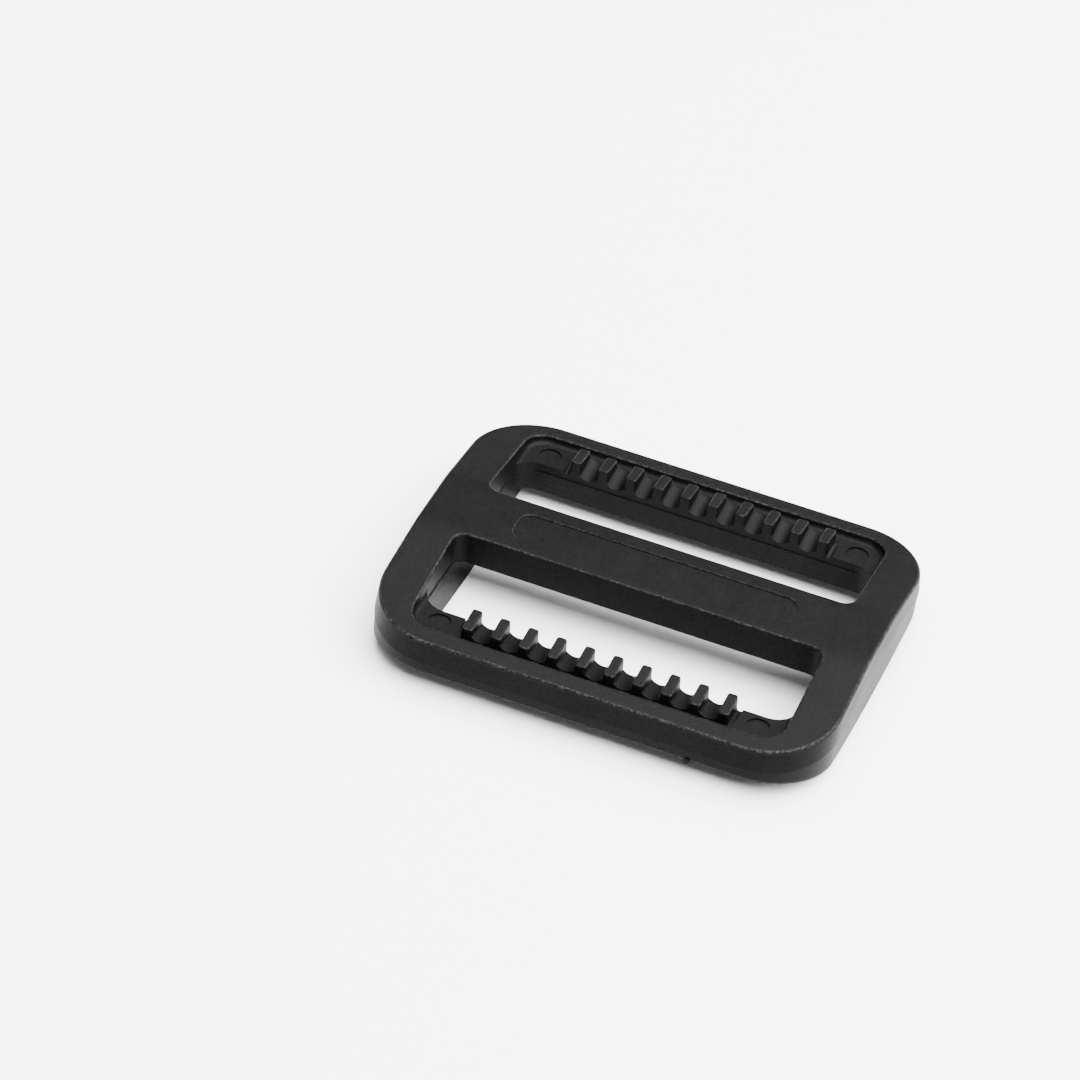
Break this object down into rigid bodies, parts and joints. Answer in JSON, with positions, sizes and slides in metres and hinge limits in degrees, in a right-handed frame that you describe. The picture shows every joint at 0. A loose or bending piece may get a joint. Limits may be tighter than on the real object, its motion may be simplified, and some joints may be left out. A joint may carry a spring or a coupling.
{
  "type": "webbing slider buckle",
  "caption": "Moulded webbing slider: a flat centre bar between two slots, toothed end bars that grip the strap, and arched side rails.",
  "frame": {"origin": "under the middle of the slider, on the flat surface that the two side rails' crests rest on", "axes": "+X along the slots towards the right side rail, +Y from the front end bar to the rear end bar, +Z out of the toothed face"},
  "size_m": [0.032, 0.0264, 0.0051],
  "materials": {
    "black_acetal": "fine spark-eroded grain on near-black acetal, edges rubbed slightly brighter"
  },
  "bodies": {
    "root": {"left_side_rail": "black_acetal", "right_side_rail": "black_acetal", "centre_bar": "black_acetal", "front_end_bar": "black_acetal", "rear_end_bar": "black_acetal", "front_grip_teeth": "black_acetal", "rear_grip_teeth": "black_acetal"}
  },
  "joints": []
}
